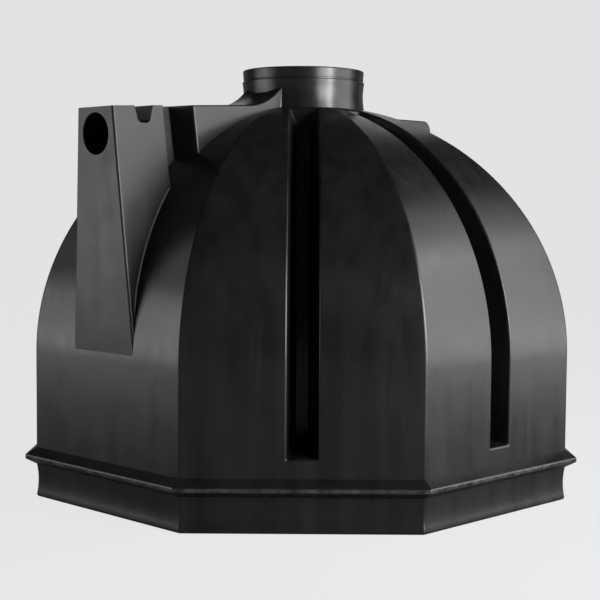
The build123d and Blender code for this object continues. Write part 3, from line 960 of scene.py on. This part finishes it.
def plain_stage(name):
    """Pale surround that the camera sees evenly lit, with the object's soft shadow, and whose glow in
    reflections is dimmed near the object as a painted shadow.
    """
    material, tree = new_material(name)
    tree.nodes.clear()
    matt = tree.nodes.new("ShaderNodeBsdfDiffuse")
    matt.inputs["Color"].default_value = (*STAGE_COLOUR, 1)
    glow = tree.nodes.new("ShaderNodeEmission")
    glow.inputs["Color"].default_value = (*STAGE_COLOUR, 1)
    path = tree.nodes.new("ShaderNodeLightPath").outputs
    coords = tree.nodes.new("ShaderNodeTexCoord").outputs["Object"]
    reach = tree.nodes.new("ShaderNodeVectorMath")
    reach.operation = "LENGTH"
    tree.links.new(coords, reach.inputs[0])
    # Glossy rays see the floor's glow dimmed near the object, a painted shadow of the tank
    clear = spread(tree, reach.outputs["Value"], *FLOOR_MIRRORED, *SHADE_REACH)
    mirrored = combined(tree, "MAXIMUM", path["Is Glossy Ray"], path["Is Transmission Ray"])
    dimmed = combined(tree, "MULTIPLY", mirrored, clear)
    strength = combined(tree, "MAXIMUM", path["Is Camera Ray"], dimmed)
    tree.links.new(strength, glow.inputs["Strength"])
    amount = tree.nodes.new("ShaderNodeMath")
    amount.operation = "MULTIPLY"
    amount.inputs[1].default_value = STAGE_GLOW
    tree.links.new(combined(tree, "MAXIMUM", path["Is Camera Ray"], mirrored), amount.inputs[0])
    mix = tree.nodes.new("ShaderNodeMixShader")
    tree.links.new(amount.outputs[0], mix.inputs[0])
    tree.links.new(matt.outputs[0], mix.inputs[1])
    tree.links.new(glow.outputs[0], mix.inputs[2])
    output = tree.nodes.new("ShaderNodeOutputMaterial")
    tree.links.new(mix.outputs[0], output.inputs["Surface"])
    return material


def surround():
    """Wide floor that turns up into a backdrop far behind the object."""
    bpy.ops.mesh.primitive_plane_add(size=1, location=(0, 0, 0))
    piece = started("floor_sweep")
    edit()
    bpy.ops.transform.resize(value=FLOOR_SIZE, center_override=(0, 0, 0))
    choose("EDGE", lambda edge: middle(edge).y > FLOOR_SIZE[1] / 2 - 1)
    for rise, run in SWEEP_STEPS:
        bpy.ops.mesh.extrude_edges_move(TRANSFORM_OT_translate={"value": (0, run, rise)})
    leave()
    piece.data.materials.append(plain_stage("pale_surround"))


def softbox(name, turn, rise, width, height, power):
    """Soft lamp that faces the tank's middle, by its direction from there in degrees."""
    light = bpy.data.lights.new(name, "AREA")
    light.shape = "RECTANGLE"
    light.size = width
    light.size_y = height
    light.energy = power
    lamp = bpy.data.objects.new(name, light)
    bpy.context.scene.collection.objects.link(lamp)
    away = Vector((
        cos(radians(turn)) * cos(radians(rise)),
        sin(radians(turn)) * cos(radians(rise)),
        sin(radians(rise)),
    ))
    lamp.location = LAMP_AIM + away * LAMP_REACH
    lamp.rotation_euler = (-away).to_track_quat("-Z", "Y").to_euler()
    lamp.visible_camera = False


def sky():
    """Faint even light from all round."""
    world = bpy.data.worlds.new("studio")
    bpy.context.scene.world = world
    world.use_nodes = True
    background = world.node_tree.nodes["Background"]
    background.inputs["Color"].default_value = SKY_COLOUR
    background.inputs["Strength"].default_value = SKY_STRENGTH


def camera():
    """Camera that sees the tank as the photograph does."""
    lens = bpy.data.cameras.new("camera")
    lens.lens = CAMERA_LENS
    lens.sensor_width = CAMERA_FILM
    eye = bpy.data.objects.new("camera", lens)
    bpy.context.scene.collection.objects.link(eye)
    eye.location = CAMERA_PLACE
    turn = (
        Matrix.Rotation(radians(CAMERA_PAN), 3, "Z")
        @ Matrix.Rotation(radians(90 - CAMERA_DIP), 3, "X")
        @ Matrix.Rotation(radians(CAMERA_ROLL), 3, "Z")
    )
    eye.rotation_euler = turn.to_euler()
    bpy.context.scene.camera = eye


def on_lip(face):
    """Whether a face of the base is on the flange's outer lip, where the plastic is rubbed and glints
    are painted into its colour.
    """
    in_height = FLANGE_UNDER - MM < face.center.z < FLANGE_OVER + MM
    return in_height and abs(face.normal.z) < LIP_LEAN and face.center.xy.length > LIP_FROM


camera()
room = tank_core("tank_room")
manhole = [(MANHOLE_RADIUS, MANHOLE_LOW), (MANHOLE_RADIUS, MANHOLE_HIGH)]
neck_room = ring("neck_room", MANHOLE_SIDES, manhole, "capped")

pieces = {
    "base": base(),
    "shell": shell(),
    "tower": tower(room),
    "web": web(room),
    "ridge": ridge(room, neck_room),
    "outlet": outlet(room, neck_room),
    "neck": neck(),
    "lid": lid(),
}
bpy.data.objects.remove(room)
bpy.data.objects.remove(neck_room)

tank_skin = moulded_plastic("tank_black", BLACK, FADED_BLACK, gloss=0.26, matt=0.34, grain=0.08)
# Lip plastic with light specks of rubbed wear and painted glints
lip_skin = moulded_plastic(
    "rubbed_and_glint_black", BLACK, RUBBED_AND_GLINT_BLACK, gloss=0.2, matt=0.4, grain=0.4, patch=LIP_WEAR_AND_GLINT_SCALE
)
# The tower and web get a lighter copy of the tank's plastic: painted sheen standing in for the light on
# the tower's cheeks
tower_skin = moulded_plastic("tower_black", BLACK, TOWER_FADED_AND_SHEEN_BLACK, gloss=0.36, matt=0.46, grain=0.16)
lid_skin = moulded_plastic("lid_black", BLACK, FADED_BLACK, gloss=0.22, matt=0.31, grain=0.08)
skins = {"lid": lid_skin, "neck": lid_skin, "tower": tower_skin, "web": tower_skin}
for name, piece in pieces.items():
    smooth(piece)
    piece.data.materials.clear()
    piece.data.materials.append(skins.get(name, tank_skin))
    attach(piece, "lid" if name == "lid" else "tank")

pieces["base"].data.materials.append(lip_skin)
for face in pieces["base"].data.polygons:
    if on_lip(face):
        face.material_index = 1

walls = [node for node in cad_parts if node.startswith(("wall_", "dome_", "slot_"))]
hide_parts("floor", "base_band", "flange")
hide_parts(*walls)
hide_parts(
    "inlet_outer_wall", "inlet_inner_wall", "inlet_left_cheek", "inlet_right_cheek", "inlet_grooved_top",
)
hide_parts("inlet_web")
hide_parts("inlet_ridge", "inlet_ridge_nose")
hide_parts("outlet_end_wall", "outlet_cap")
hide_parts("neck")
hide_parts("lid")

surround()

# Turn, rise, width, height and power of each lamp
softbox("key_strip", -39, 12, 0.5, 2.4, 68)
softbox("front_wide_box", -47, 5, 2.3, 1.7, 52)
softbox("front_box", -50, 12, 1.4, 1.5, 42)
softbox("right_wide_box", -8, 13, 2.4, 2.1, 54)
softbox("right_foot_box", -5, -6, 2.4, 0.5, 13)
softbox("right_high_box", 5, 30, 1.8, 1.2, 9)
softbox("left_low_box", -176, 2, 1.8, 1.4, 15)
softbox("left_box", -160, 4, 1.6, 1.6, 14)
softbox("left_high_box", -178, 26, 1.8, 1.0, 4)
softbox("left_foot_box", -170, -6, 2.4, 0.5, 3)
softbox("back_box", 88, 32, 2.6, 1.2, 6)

sky()
bpy.context.scene.view_settings.view_transform = "Standard"

bpy.ops.object.select_all(action="DESELECT")
